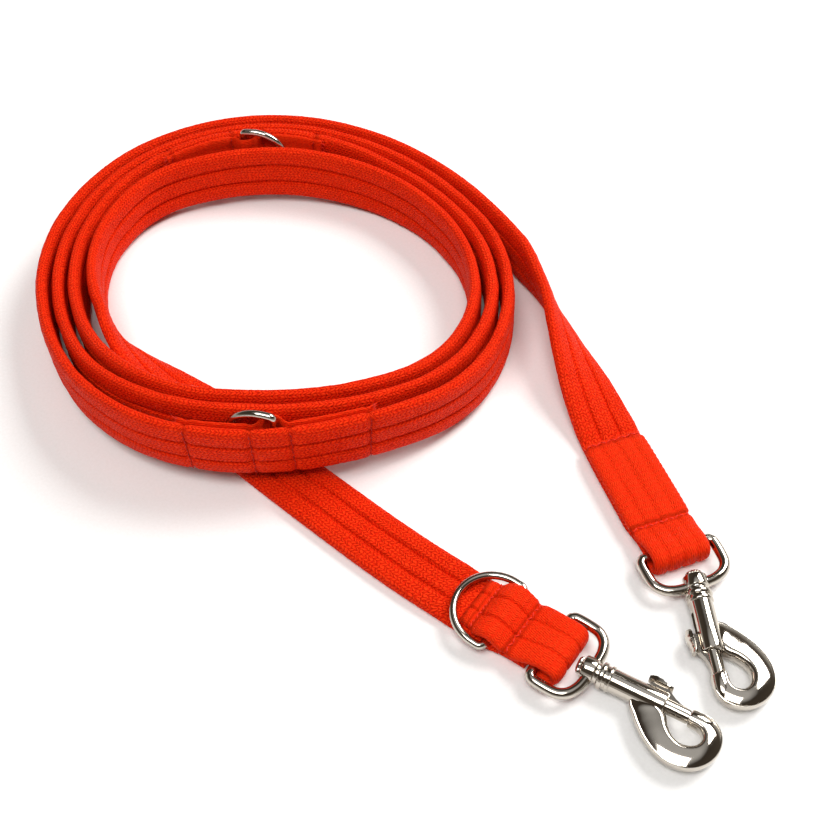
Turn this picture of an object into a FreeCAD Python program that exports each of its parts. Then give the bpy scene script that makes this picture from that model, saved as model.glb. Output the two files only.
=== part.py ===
"""Double-ended training leash: a long padded web strap, coiled on its edge, with a swivel snap at
each end and three welded D-rings.  Millimetres, +Z up, standing on z = 0.
"""
import FreeCAD, Part
import math
import os
import Sketcher

from FreeCAD import Placement, Rotation, Vector

doc = FreeCAD.newDocument("training_leash")

# ---------------------------------------------------------------- driving dimensions

SIZES = {
    "web_width": 25.0,
    "web_thickness": 4.8,
    "sewn_thickness": 3.5,
    "neck_width": 22.6,
    "patch_thickness": 2.0,
    "cloth_gap": 0.3,
    "fold_radius": 5.4,
    "fold_wall": 3.1,
    "plain_slack": 1.0,
    "ring_slack": 3.6,
    "plain_return": 56.0,
    "ring_return": 31.5,
    "ring_bar_place": 19.6,
    "stitch_length": 2.2,
    "stitch_thickness": 0.4,
    "dee_wire": 1.5,
    "dee_half_width": 14.5,
    "dee_arm": 4.3,
    "eye_wire": 2.0,
    "eye_half_width": 14.6,
    "eye_length": 16.3,
    "boss_radius": 4.3,
    "boss_length": 6.1,
    "boss_place": 3.35,
    "rivet_radius": 2.0,
    "rivet_head_radius": 3.4,
    "rivet_head_length": 1.8,
    "running_gap": 0.1,
    "axis_height": 5.4,
    "collar_radius": 5.2,
    "collar_length": 2.2,
    "barrel_radius": 4.3,
    "barrel_length": 23.8,
    "bore_radius": 2.75,
    "bore_start": 3.0,
    "slot_start": 8.4,
    "slot_width": 3.2,
    "hook_thickness": 6.0,
    "nose_start": 32.5,
    "nose_radius": 3.1,
    "nose_recess_radius": 2.2,
    "nose_recess_depth": 1.5,
    "bolt_radius": 2.6,
    "bolt_start": 14.0,
    "bolt_tip_radius": 1.9,
    "bolt_tip_length": 1.2,
    "thumb_stem_width": 2.8,
    "thumb_pad_width": 5.6,
    "spring_radius": 2.0,
    "spring_wire": 0.25,
    "spring_pitch": 1.7,
}

sheet = doc.addObject("Spreadsheet::Sheet", "sizes")
for row, (alias, value) in enumerate(SIZES.items(), start=1):
    sheet.set(f"A{row}", alias)
    sheet.set(f"B{row}", str(value))
    sheet.setAlias(f"B{row}", alias)
doc.recompute()


def size(alias):
    """The value that the spreadsheet holds for one driving dimension."""
    return float(sheet.get(alias))


WIDTH = size("web_width")
THICK = size("web_thickness")
SEWN = size("sewn_thickness")
GAP = size("cloth_gap")
AXIS_Z = size("axis_height")
DEE_WIRE = size("dee_wire")

# ---------------------------------------------------------------- where the strap runs
# The strap runs from the plain end, round three and a half turns, to the ring end.  Roll is 0
# where it lies flat, 90 where it stands on its edge and 180 where it lies flat the other way up.

COIL_CENTRE = Vector(-37.0, 70.0, 0)
POINTS_PER_TURN = 16
TURN_STEP = 360.0 / POINTS_PER_TURN
COIL_RADII = (
    (109, 96, 91.7, 90.4, 92.3, 96.5, 101.5, 102, 100, 98.5, 101.5, 106, 106, 107.5, 112, 107),
    (99, 88.5, 84.5, 83.6, 85.8, 89.9, 94.7, 95, 93, 91.5, 93.5, 94, 93.5, 99, 103.5, 100),
    (92, 82, 77.5, 77.3, 80, 83.9, 88.1, 88.5, 86, 84.5, 86.5, 87.5, 86.5, 91.5, 96, 92.5),
    (84.5, 75.5, 70, 65.7, 65.6, 69.8, 80.6, 81.7, 78.5, 75),
)
COIL_LEANS = (
    (0,) * POINTS_PER_TURN,
    (0,) * POINTS_PER_TURN,
    (0,) * POINTS_PER_TURN,
    (0, 2, 6, 9, 10, 6, 2, 0, 0, 0),
)
FRONT_LIFT = 9.3
BACK_LIFTS = (3.8, 3.8, 5.3, 3.8)
FLOOR_GAP = 0.3
TWIST_GAP = 0.5

PLAIN_TAIL = (
    (114.1, -76.4, 0),
    (108.6, -57.7, 0),
    (102.9, -39.0, 0),
    (97.4, -19.2, 1),
    (91.7, 1.6, 22),
    (86.8, 21.5, 48),
    (82.2, 41.5, 72),
)
RING_TAIL = (
    (-96.5, 27.5, 125),
    (-83.5, 15.0, 152),
    (-69.5, 4.0, 173),
    (-53.5, -10.0, 180),
    (-34.5, -29.0, 180),
    (-12.0, -50.8, 180),
    (13.5, -74.8, 180),
    (38.0, -95.1, 180),
    (61.5, -113.5, 180),
)
SWIVELS = {
    "plain_end": {"collar": Vector(119.5, -97.9, AXIS_Z), "heading": -88.3, "eye_heading": -73.1,
                  "face_down": False, "slack": size("plain_slack")},
    "ring_end": {"collar": Vector(80.4, -127.8, AXIS_Z), "heading": -32.4, "eye_heading": -38.4,
                 "face_down": True, "slack": size("ring_slack")},
}


def ease(share):
    """0 to 1 with a soft start and a soft end."""
    share = min(max(share, 0.0), 1.0)
    return share * share * (3.0 - 2.0 * share)


def lift(angle, turn):
    """How far the strap's lower edge is held up: over the ring-end tail in front, over a ring behind."""
    front_start = (200.0, 198.0, 190.0, 190.0)[turn]
    front = ease((angle - front_start) / 45.0) - ease((angle - 285.0) / 48.0)
    back = ease((angle - 45.0) / 40.0) - ease((angle - 115.0) / 40.0)
    return FLOOR_GAP + FRONT_LIFT * max(front, 0.0) + BACK_LIFTS[turn] * max(back, 0.0)


def heading(degrees):
    """Level unit vector at an angle from +X."""
    return Vector(math.cos(math.radians(degrees)), math.sin(math.radians(degrees)), 0)


def coil_points():
    """The coil's control points, from the outermost turn inwards, as (x, y, roll, lift)."""
    points = []
    reach = 1.0 / math.cos(math.radians(TURN_STEP / 2.0))
    for turn, radii in enumerate(COIL_RADII):
        for step, radius in enumerate(radii):
            angle = step * TURN_STEP
            place = COIL_CENTRE + heading(angle) * radius * reach
            points.append((place.x, place.y, 90.0 + COIL_LEANS[turn][step], lift(angle, turn)))
    return points


def route_points():
    """Every control point of the strap's middle line with its roll there, as (point, roll)."""
    stations = [(x, y, roll, TWIST_GAP * math.sin(math.radians(roll))) for x, y, roll in PLAIN_TAIL]
    stations += coil_points()
    stations += [(x, y, roll, TWIST_GAP * math.sin(math.radians(roll))) for x, y, roll in RING_TAIL]
    route = []
    for x, y, roll, raised in stations:
        turned = math.radians(roll)
        height = WIDTH / 2.0 * math.sin(turned) + THICK / 2.0 * abs(math.cos(turned))
        route.append((Vector(x, y, height + raised), roll))
    return route


class Path:
    """Straight runs joined by tangent arcs, each arc as large as its two runs allow."""

    ARC_SHARE = 0.45

    def __init__(self, route):
        points = [point for point, roll in route]
        self.radii = []
        self.pieces = []
        self.length = 0.0
        self.marks = [0.0]
        start = points[0]
        for before, corner, after in zip(points, points[1:], points[2:]):
            run_in = corner - before
            run_out = after - corner
            turn = run_in.getAngle(run_out)
            reach = self.ARC_SHARE * min(run_in.Length, run_out.Length)
            radius = reach / math.tan(turn / 2.0)
            arc_start = corner - run_in.normalize() * reach
            arc_end = corner + run_out.normalize() * reach
            self.add_line(start, arc_start)
            self.marks.append(self.length + radius * turn / 2.0)
            self.add_arc(corner, arc_start, arc_end, radius, turn)
            self.radii.append(radius)
            start = arc_end
        self.add_line(start, points[-1])
        self.marks.append(self.length)
        self.rolls = [roll for point, roll in route]

    def add_line(self, start, end):
        self.pieces.append((self.length, (end - start).Length, start, end, None, 0.0))
        self.length += (end - start).Length

    def add_arc(self, corner, start, end, radius, turn):
        middle = (start + end) * 0.5
        out = (middle - corner).normalize()
        centre = corner + out * (radius / math.cos(turn / 2.0))
        self.pieces.append((self.length, radius * turn, start, end, centre, turn))
        self.length += radius * turn

    def point(self, distance):
        """The place on the path at a distance from its start."""
        for begin, long, start, end, centre, turn in self.pieces:
            if distance <= begin + long:
                break
        share = min(max((distance - begin) / long, 0.0), 1.0)
        if centre is None:
            return start + (end - start) * share
        a = start - centre
        b = end - centre
        return centre + (a * math.sin((1.0 - share) * turn) + b * math.sin(share * turn)) * (
            1.0 / math.sin(turn)
        )

    def direction(self, distance):
        """The unit tangent there."""
        ahead = self.point(min(distance + 0.05, self.length))
        behind = self.point(max(distance - 0.05, 0.0))
        return (ahead - behind).normalize()

    def roll(self, distance):
        """The strap's roll there, eased between the control points."""
        for index in range(len(self.marks) - 1):
            if distance <= self.marks[index + 1]:
                break
        a, b = self.marks[index], self.marks[index + 1]
        share = min(max((distance - a) / (b - a), 0.0), 1.0)
        return self.rolls[index] + (self.rolls[index + 1] - self.rolls[index]) * share


ROUTE = route_points()
PATH = Path(ROUTE)
COIL_FIRST = len(PLAIN_TAIL)
COIL_LAST = len(ROUTE) - len(RING_TAIL) - 1
MIDDLE_RING_AT = PATH.marks[COIL_FIRST + 12] + 4.6
FAR_RING_AT = PATH.marks[COIL_FIRST + 2 * POINTS_PER_TURN + 4] + 14.5
TWIST_STARTS = PATH.marks[3]
TWIST_ENDS = PATH.marks[COIL_LAST + 5]
COIL_STARTS = PATH.marks[COIL_FIRST]
COIL_ENDS = PATH.marks[COIL_LAST]


def frame_at(distance):
    """(middle, across, face) of the strap: across points to its upper edge, face out of the coil."""
    middle = PATH.point(distance)
    along = PATH.direction(distance)
    left = Vector(-along.y, along.x, 0).normalize()
    up = along.cross(left)
    turned = math.radians(PATH.roll(distance))
    across = left * math.cos(turned) + up * math.sin(turned)
    face = up * math.cos(turned) - left * math.sin(turned)
    return middle, across, face


def section(distance, half_width, low, high):
    """A rectangle across the strap: half its width, and from low to high along the outer face."""
    middle, across, face = frame_at(distance)
    corners = [
        middle - across * half_width + face * low,
        middle + across * half_width + face * low,
        middle + across * half_width + face * high,
        middle - across * half_width + face * high,
    ]
    return Part.makePolygon(corners + corners[:1])


def distances(start, end, step, extra=()):
    """Even stations from start to end, with any extra ones between."""
    count = max(1, int(math.ceil((end - start) / step)))
    places = [start + (end - start) * i / count for i in range(count + 1)]
    clear = [d for d in extra if start + 0.5 < d < end - 0.5]
    places = [p for p in places if all(abs(p - d) > 1.0 for d in clear)]
    return sorted(places + clear)


PATCH_BACK = 37.0
PATCH_FRONT = 39.5
HUMP_TOP = 3.0
HUMP_FOOT = 6.2
RING_STATIONS = [
    ring + offset
    for ring in (MIDDLE_RING_AT, FAR_RING_AT)
    for offset in (-PATCH_BACK, -HUMP_FOOT, -HUMP_TOP, HUMP_TOP, HUMP_FOOT, PATCH_FRONT)
]
STATION_STEP = 8.0
COIL_STATIONS = distances(COIL_STARTS, COIL_ENDS, STATION_STEP, RING_STATIONS)

parts = []


def add_shape(label, shape):
    """A sub-part whose shape is worked out here from the spreadsheet's sizes."""
    feature = doc.addObject("Part::Feature", label)
    feature.Label = label
    feature.Shape = shape
    parts.append(feature)
    return feature


# ---------------------------------------------------------------- strap


def tail_section(distance, from_end, slack, doubled, upper_face):
    """The strap's section near a sewn end, thinner where it is sewn double and narrower at the eye."""
    thinning = 1.0 - ease((from_end - doubled) / 6.5)
    thick = THICK - (THICK - SEWN) * thinning
    narrowing = 1.0 - ease((from_end - slack - 3.0) / 11.0)
    half = (WIDTH - (WIDTH - size("neck_width")) * narrowing) / 2.0
    if upper_face > 0:
        return section(distance, half, -THICK / 2.0, -THICK / 2.0 + thick)
    return section(distance, half, THICK / 2.0 - thick, THICK / 2.0)


UNDERSIDE = 0.02


def loft(label, sections, flat_under=False):
    """A strap piece through its sections; a flat underside is one plane, where the strap lies flat."""
    solid = Part.makeLoft(sections, True, True)
    if flat_under:
        box = solid.BoundBox
        below = Part.makeBox(box.XLength + 20.0, box.YLength + 20.0, 5.0 + UNDERSIDE,
                             Vector(box.XMin - 10.0, box.YMin - 10.0, -5.0))
        solid = solid.cut(below).Solids[0]
    return add_shape(label, solid)


def full_sections(places):
    """Full strap sections at these distances."""
    return [section(d, WIDTH / 2.0, -THICK / 2.0, THICK / 2.0) for d in places]


def eye_bar(end):
    """Middle of the eye's crossbar at one end, and the heading from the strap to the eye."""
    swivel = SWIVELS[end]
    boss = swivel["collar"] - heading(swivel["heading"]) * size("boss_place")
    return boss - heading(swivel["eye_heading"]) * size("eye_length"), heading(swivel["eye_heading"])


def make_tail(label, end, places, from_start, doubled, upper_face):
    """A flat tail, from the face where the fold begins to where the strap starts to twist."""
    bar, towards_eye = eye_bar(end)
    slack = SWIVELS[end]["slack"]
    fold = bar + towards_eye * slack
    sections = []
    for place in places:
        from_end = place if from_start else PATH.length - place
        sections.append(tail_section(place, from_end, slack, doubled, upper_face))
    across = Vector(-towards_eye.y, towards_eye.x, 0) * (size("neck_width") / 2.0)
    base = Vector(fold.x, fold.y, 0)
    high = Vector(fold.x, fold.y, size("fold_wall"))
    if upper_face > 0:
        corners = [base - across, base + across, high + across, high - across]
    else:
        corners = [high + across, high - across, base - across, base + across]
    end_face = Part.makePolygon(corners + corners[:1])
    ordered = [end_face] + sections if from_start else sections + [end_face]
    return loft(label, ordered, True)


plain_places = distances(3.0, TWIST_STARTS, STATION_STEP)
ring_places = distances(TWIST_ENDS, PATH.length - 3.0, STATION_STEP)
make_tail("strap_plain_tail", "plain_end", plain_places, True, size("plain_return") - 3.0, 1)
loft("strap_plain_twist", full_sections(distances(TWIST_STARTS, COIL_STARTS, STATION_STEP)))
loft("strap_coil", full_sections(COIL_STATIONS))
loft("strap_ring_twist", full_sections(distances(COIL_ENDS, TWIST_ENDS, STATION_STEP / 2.0)))
make_tail("strap_ring_tail", "ring_end", ring_places, False, size("ring_return"), -1)


# ---------------------------------------------------------------- PartDesign helpers


def new_body(label):
    """A PartDesign body that is a sub-part."""
    body = doc.addObject("PartDesign::Body", label)
    body.Label = label
    parts.append(body)
    return body


def sketch_on(body, role, name):
    """An empty sketch on one of the body's own origin planes."""
    plane = next(f for f in body.Origin.OriginFeatures if f.Role == role)
    sketch = body.newObject("Sketcher::SketchObject", f"{body.Name}_{name}")
    sketch.AttachmentSupport = [(plane, "")]
    sketch.MapMode = "FlatFace"
    return sketch


def draw(sketch, steps):
    """A closed outline: each step is the next point, or (a point to pass through, next point)."""
    start = steps[0]
    place = start
    for step in list(steps[1:]) + [start]:
        if isinstance(step[0], tuple):
            through, end = step
            arc = Part.Arc(Vector(*place, 0), Vector(*through, 0), Vector(*end, 0))
            sketch.addGeometry(arc)
            place = end
        elif math.dist(place, step) > 1e-6:
            sketch.addGeometry(Part.LineSegment(Vector(*place, 0), Vector(*step, 0)))
            place = step


def draw_circle(sketch, x, y, alias):
    """A circle whose radius is bound to the spreadsheet."""
    index = sketch.addGeometry(Part.Circle(Vector(x, y, 0), Vector(0, 0, 1), size(alias)))
    number = sketch.addConstraint(Sketcher.Constraint("Radius", index, size(alias)))
    sketch.renameConstraint(number, alias)
    sketch.setExpression(f"Constraints.{alias}", f"sizes.{alias}")


def pad(body, sketch, alias, name):
    """A pad to both sides of its sketch, as thick as the spreadsheet says."""
    feature = body.newObject("PartDesign::Pad", f"{body.Name}_{name}")
    feature.Profile = sketch
    feature.setExpression("Length", f"sizes.{alias}")
    feature.Midplane = True
    return feature


def turned(body, steps, name, kind="PartDesign::Revolution"):
    """A solid of revolution about the body's X axis, or a groove, from an outline of (x, radius)."""
    sketch = sketch_on(body, "XY_Plane", f"{name}_outline")
    draw(sketch, steps)
    feature = body.newObject(kind, f"{body.Name}_{name}")
    feature.Profile = sketch
    feature.ReferenceAxis = (sketch, ["H_Axis"])
    feature.Angle = 360.0
    return feature


# ---------------------------------------------------------------- sewn loops


def side_view(body, outline, width_alias, name):
    """The loop's side view, padded across the strap."""
    sketch = sketch_on(body, "XZ_Plane", f"{name}_outline")
    draw(sketch, outline)
    return pad(body, sketch, width_alias, name)


def trim(body, outline, name):
    """Cuts the strap's edges back to an outline seen from above, given for one side."""
    for side in (1.0, -1.0):
        sketch = sketch_on(body, "XY_Plane", f"{name}_{'left' if side > 0 else 'right'}")
        draw(sketch, [(x, side * y) for x, y in outline])
        pocket = body.newObject("PartDesign::Pocket", f"{sketch.Name}_cut")
        pocket.Profile = sketch
        pocket.Length = 40.0
        pocket.Midplane = True


def make_loop(end, label, hump):
    """The fold round the eye and the layer sewn back over the strap.

    Its own frame has X towards the eye and its origin under the crossbar.
    """
    bar, towards_eye = eye_bar(end)
    slack = SWIVELS[end]["slack"]
    top = 2.0 * size("fold_radius")
    wall = size("fold_wall")
    low = SEWN + GAP
    high = low + SEWN
    back = -(size("ring_return") if hump else size("plain_return"))
    inner = size("fold_radius") - wall
    outline = [
        (slack, 0.0),
        ((slack + size("fold_radius"), AXIS_Z), (slack, top)),
        (-2.5, top),
        (-9.0, high),
    ]
    under = [(-3.0, top - wall), (slack, top - wall)]
    if hump:
        place = -size("ring_bar_place")
        crown = SEWN + 2.0 * (GAP + DEE_WIRE)
        outline += [(place + 5.4, high), (place + 2.7, crown + SEWN), (place - 2.7, crown + SEWN),
                    (place - 5.4, high)]
        under = [(place - 4.1, low), (place - 1.7, crown), (place + 1.7, crown),
                 (place + 4.1, low)] + [(-9.0, low)] + under
    else:
        under = [(-9.0, low)] + under
    outline += [(back, high), (back, low)] + under
    outline += [((slack + inner, AXIS_Z), (slack, AXIS_Z - inner))]
    body = new_body(label)
    side_view(body, outline, "web_width", "side")
    far = 30.0
    neck = size("neck_width") / 2.0
    edge = WIDTH / 2.0
    trim(body, [(far, neck), (slack - 3.0, neck), (slack - 14.0, edge), (slack - 14.0, far), (far, far)],
         "neck")
    if hump:
        trim(body, [(back - 1.0, 9.0), (back + 1.5, 9.5), (back + 8.0, edge), (back + 8.0, far),
                    (back - 1.0, far)], "flap")
    angle = SWIVELS[end]["eye_heading"]
    body.Placement = Placement(Vector(bar.x, bar.y, 0), Rotation(Vector(0, 0, 1), angle))
    return body


make_loop("plain_end", "plain_end_loop", False)
make_loop("ring_end", "ring_end_loop", True)


# ---------------------------------------------------------------- patches over the coil's rings

HUMP_RISE = 2.0 * (DEE_WIRE + GAP)


def make_patch(label, ring_at):
    """A short web sewn on the strap's inner face, with a hump over the ring's bar."""
    thick = size("patch_thickness")
    sections = []
    for place in COIL_STATIONS:
        offset = place - ring_at
        if -PATCH_BACK - 0.01 <= offset <= PATCH_FRONT + 0.01:
            slope = (abs(offset) - HUMP_TOP) / (HUMP_FOOT - HUMP_TOP)
            rise = HUMP_RISE * min(max(1.0 - slope, 0.0), 1.0)
            base = -THICK / 2.0 - 0.05 - rise
            sections.append(section(place, WIDTH / 2.0 - 0.2, base - thick, base))
    return loft(label, sections)


make_patch("middle_ring_patch", MIDDLE_RING_AT)
make_patch("far_ring_patch", FAR_RING_AT)


# ---------------------------------------------------------------- stitching


def stitch_row(middle, across, out, along, count):
    """One row of thread bars across the strap, lying on its surface."""
    solids = []
    long = size("stitch_length")
    thick = size("stitch_thickness")
    pitch = (WIDTH - 3.0) / count
    for number in range(count):
        centre = middle + across * (pitch * (number - (count - 1) / 2.0)) + out * 0.02
        start = centre - across * (long / 2.0) - along * thick
        corners = [start, start + across * long, start + across * long + along * (2.0 * thick),
                   start + along * (2.0 * thick)]
        face = Part.Face(Part.makePolygon(corners + corners[:1]))
        solids.append(face.extrude(out * thick))
    return solids


STITCHES_PER_ROW = 8
ENDS_ROWS = {"plain_end": (12.5, 54.0), "ring_end": (11.3, 27.0)}
PATCH_ROWS = (-33.0, -8.0, 7.2, 37.0)


def end_stitching(end):
    """Rows on the sewn-back layer; beside the fold the strap is narrower, so the row is too."""
    bar, towards_eye = eye_bar(end)
    across = Vector(-towards_eye.y, towards_eye.x, 0)
    top = 2.0 * SEWN + GAP
    solids = []
    for place in ENDS_ROWS[end]:
        middle = Vector(bar.x, bar.y, top) - towards_eye * place
        count = STITCHES_PER_ROW if end == "plain_end" or place < 20.0 else STITCHES_PER_ROW - 1
        solids += stitch_row(middle, across, Vector(0, 0, 1), towards_eye, count)
    return Part.makeCompound(solids)


def patch_stitching(ring_at):
    """Rows on a patch's face."""
    solids = []
    for offset in PATCH_ROWS:
        place = ring_at + offset
        first = max(d for d in COIL_STATIONS if d <= place)
        second = min(d for d in COIL_STATIONS if d > place)
        share = (place - first) / (second - first)
        surfaces = []
        for station in (first, second):
            middle, across, face = frame_at(station)
            surfaces.append(middle - face * (THICK / 2.0 + 0.05 + size("patch_thickness")))
        middle = surfaces[0] + (surfaces[1] - surfaces[0]) * share
        along = (surfaces[1] - surfaces[0]).normalize()
        across = frame_at(place)[1]
        inward = across.cross(along).normalize()
        solids += stitch_row(middle, across, inward, along, STITCHES_PER_ROW)
    return Part.makeCompound(solids)


add_shape("plain_end_stitching", end_stitching("plain_end"))
add_shape("ring_end_stitching", end_stitching("ring_end"))
add_shape("middle_patch_stitching", patch_stitching(MIDDLE_RING_AT))
add_shape("far_patch_stitching", patch_stitching(FAR_RING_AT))


# ---------------------------------------------------------------- rings and eyes


def bent_wire(label, outline, start_x, alias):
    """A round wire bent to a closed outline in the body's XY plane, through (start_x, 0)."""
    body = new_body(label)
    path = sketch_on(body, "XY_Plane", "path")
    draw(path, outline)
    profile = sketch_on(body, "XZ_Plane", "wire")
    draw_circle(profile, start_x, 0.0, alias)
    pipe = body.newObject("PartDesign::AdditivePipe", f"{body.Name}_pipe")
    pipe.Profile = profile
    pipe.Spine = (path, [""])
    return body


def dee_ring(label, bar, rotation):
    """A welded D-ring; its own frame has the bar along Y at the origin and the bow towards +X."""
    half = size("dee_half_width")
    arm = size("dee_arm")
    corner = 2.0
    cut = corner * (1.0 - math.sqrt(0.5))
    outline = [
        (0.0, 0.0),
        (0.0, half - corner),
        ((cut, half - cut), (corner, half)),
        (arm, half),
        ((arm + half, 0.0), (arm, -half)),
        (corner, -half),
        ((cut, -half + cut), (0.0, -half + corner)),
    ]
    body = bent_wire(label, outline, 0.0, "dee_wire")
    body.Placement = Placement(bar, rotation)
    return body


def ring_beside_strap(ring_at, lean):
    """Place and turn of a ring whose bar lies across the strap's inner face, its bow held up a little."""
    middle, across, face = frame_at(ring_at)
    inward = face * -1.0
    bar = middle + inward * (THICK / 2.0 + GAP + DEE_WIRE)
    along = PATH.direction(ring_at)
    rise = math.radians(BOW_RISE)
    bar_line = across * math.cos(rise) + along * math.sin(rise)
    level = across * math.sin(rise) - along * math.cos(rise)
    bow = level * math.cos(math.radians(lean)) + inward * math.sin(math.radians(lean))
    return bar, Rotation(bow, bar_line, bow.cross(bar_line), "XYZ")


MIDDLE_LEAN = 16.5
FAR_LEAN = 17.0
BOW_RISE = 6.0
END_RING_TILT = 4.2

dee_ring("middle_d_ring", *ring_beside_strap(MIDDLE_RING_AT, MIDDLE_LEAN))
dee_ring("far_d_ring", *ring_beside_strap(FAR_RING_AT, FAR_LEAN))
ring_end_bar, ring_end_heading = eye_bar("ring_end")
end_ring_bar = ring_end_bar - ring_end_heading * size("ring_bar_place")
end_ring_bar.z = SEWN + GAP + DEE_WIRE
dee_ring(
    "end_d_ring",
    end_ring_bar,
    Rotation(Vector(0, 0, 1), SWIVELS["ring_end"]["eye_heading"] + 180.0)
    * Rotation(Vector(0, 1, 0), -END_RING_TILT),
)


def snap_eye(end):
    """The snap's eye: a rounded frame of wire with a boss bored for the swivel rivet.

    Its own frame is the snap's: X from the collar to the nose, origin at the collar.
    """
    swivel = SWIVELS[end]
    half = size("eye_half_width")
    back = -size("eye_length")
    near, far = 2.8, 8.0
    near_cut = near * (1.0 - math.sqrt(0.5))
    far_cut = far * (1.0 - math.sqrt(0.5))
    outline = [
        (back, 0.0),
        (back, half - near),
        ((back + near_cut, half - near_cut), (back + near, half)),
        (-far, half),
        ((-far_cut, half - far_cut), (0.0, half - far)),
        (0.0, -half + far),
        ((-far_cut, -half + far_cut), (-far, -half)),
        (back + near, -half),
        ((back + near_cut, -half + near_cut), (back, -half + near)),
    ]
    frame = bent_wire(f"{end}_eye_frame", outline, back, "eye_wire")
    parts.remove(frame)
    boss = doc.addObject("Part::Cylinder", f"{end}_eye_boss")
    boss.setExpression("Radius", "sizes.boss_radius")
    boss.setExpression("Height", "sizes.boss_length")
    bore = doc.addObject("Part::Cylinder", f"{end}_eye_bore")
    bore.setExpression("Radius", "sizes.rivet_radius + sizes.running_gap")
    bore.setExpression("Height", "sizes.boss_length * 2")
    boss_at = Vector(-size("boss_place"), 0, 0)
    yaw = swivel["eye_heading"] - swivel["heading"]
    if swivel["face_down"]:
        yaw = -yaw
    along_x = Rotation(Vector(0, 0, 1), Vector(1, 0, 0))
    frame.Placement = Placement(boss_at, Rotation(Vector(0, 0, 1), yaw))
    boss.Placement = Placement(boss_at - Vector(size("boss_length") / 2.0, 0, 0), along_x)
    bore.Placement = Placement(boss_at - Vector(size("boss_length"), 0, 0), along_x)
    solid = doc.addObject("Part::Fuse", f"{end}_eye_solid")
    solid.Base = frame
    solid.Tool = boss
    eye = doc.addObject("Part::Cut", f"{end}_snap_eye")
    eye.Label = f"{end}_snap_eye"
    eye.Base = solid
    eye.Tool = bore
    parts.append(eye)
    return eye


# ---------------------------------------------------------------- snap hook


def snap_body(end):
    """Barrel, hook and nose in one casting, bored for the bolt and slotted for its thumb piece."""
    body = new_body(f"{end}_snap_body")
    collar = size("collar_radius")
    long = size("barrel_length")
    barrel = size("barrel_radius")
    bore = size("bore_radius")
    nose = size("nose_start")
    turned(body, [(0.0, 0.0), (0.0, collar - 0.5), (0.5, collar), (size("collar_length"), collar),
                  (size("collar_length") + 0.9, barrel - 0.4), (6.0, barrel), (long - 1.2, barrel),
                  (long, barrel - 0.6), (long, 0.0)], "barrel")
    turned(body, [(nose, 0.0), (nose, size("nose_radius") - 0.4), (nose + 0.4, size("nose_radius")),
                  (nose + 6.0, size("nose_radius")), (nose + 7.0, 0.0)], "nose")
    hook = sketch_on(body, "XY_Plane", "hook_outline")
    draw(hook, [
        (14.0, 0.0),
        (14.0, 5.0),
        ((18.6, 11.2), (24.0, 16.2)),
        ((31.0, 19.0), (37.5, 18.4)),
        ((44.2, 13.2), (45.4, 6.0)),
        ((42.6, -0.6), (37.0, -3.0)),
        (nose + 0.5, -3.0),
        (nose + 0.5, 2.9),
        (35.5, 2.9),
        ((38.0, 4.2), (38.9, 6.6)),
        ((36.8, 9.8), (32.6, 10.6)),
        ((28.0, 8.0), (25.4, 3.4)),
        (25.2, 0.0),
    ])
    pad(body, hook, "hook_thickness", "hook")
    turned(body, [(size("bore_start"), 0.0), (size("bore_start"), bore), (long + 2.0, bore),
                  (long + 2.0, 0.0)], "bolt_bore", "PartDesign::Groove")
    recess = nose + size("nose_recess_depth")
    turned(body, [(nose - 2.0, 0.0), (nose - 2.0, size("nose_recess_radius")),
                  (recess, size("nose_recess_radius")), (recess, 0.0)], "recess", "PartDesign::Groove")
    rivet = size("rivet_radius") + 0.02
    turned(body, [(-1.0, 0.0), (-1.0, rivet), (size("bore_start") + 0.5, rivet),
                  (size("bore_start") + 0.5, 0.0)], "rivet_bore", "PartDesign::Groove")
    slot = sketch_on(body, "XY_Plane", "slot_outline")
    draw(slot, [(size("slot_start"), 0.0), (long + 1.0, 0.0), (long + 1.0, -8.0),
                (size("slot_start"), -8.0)])
    pocket = body.newObject("PartDesign::Pocket", f"{body.Name}_slot")
    pocket.Profile = slot
    pocket.setExpression("Length", "sizes.slot_width")
    pocket.Midplane = True
    return body


def swivel_rivet(end):
    """The headed pin that the eye turns on."""
    body = new_body(f"{end}_swivel_rivet")
    tail = -(size("boss_place") + size("boss_length") / 2.0 + 0.2)
    head = tail - size("rivet_head_length")
    radius = size("rivet_radius")
    crown = size("rivet_head_radius")
    turned(body, [(head, 0.0), (head, crown - 0.8), (head + 0.8, crown), (tail, crown), (tail, radius),
                  (size("bore_start"), radius), (size("bore_start"), 0.0)], "pin")
    return body


def snap_bolt(end):
    """The sliding bolt with its thumb piece, closed against the nose."""
    body = new_body(f"{end}_snap_bolt")
    start = size("bolt_start")
    radius = size("bolt_radius")
    tip = size("nose_start") - 0.2
    point = size("bolt_tip_radius")
    turned(body, [(start, 0.0), (start, radius - 0.3), (start + 0.3, radius), (tip, radius), (tip, point),
                  (tip + size("bolt_tip_length"), point - 0.3), (tip + size("bolt_tip_length"), 0.0)],
           "rod")
    stem = sketch_on(body, "XY_Plane", "stem_outline")
    draw(stem, [(17.0, -0.5), (17.0, -5.6), (24.0, -5.6), ((26.4, -4.0), (31.0, -2.3)), (31.0, -0.5)])
    pad(body, stem, "thumb_stem_width", "stem")
    thumb = sketch_on(body, "XY_Plane", "thumb_outline")
    draw(thumb, [(15.6, -4.9), (15.6, -7.2), ((16.0, -8.1), (16.9, -8.5)), (23.0, -8.2),
                 ((23.8, -6.6), (24.6, -5.4)), (24.0, -4.9)])
    pad(body, thumb, "thumb_pad_width", "thumb")
    return body


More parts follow.
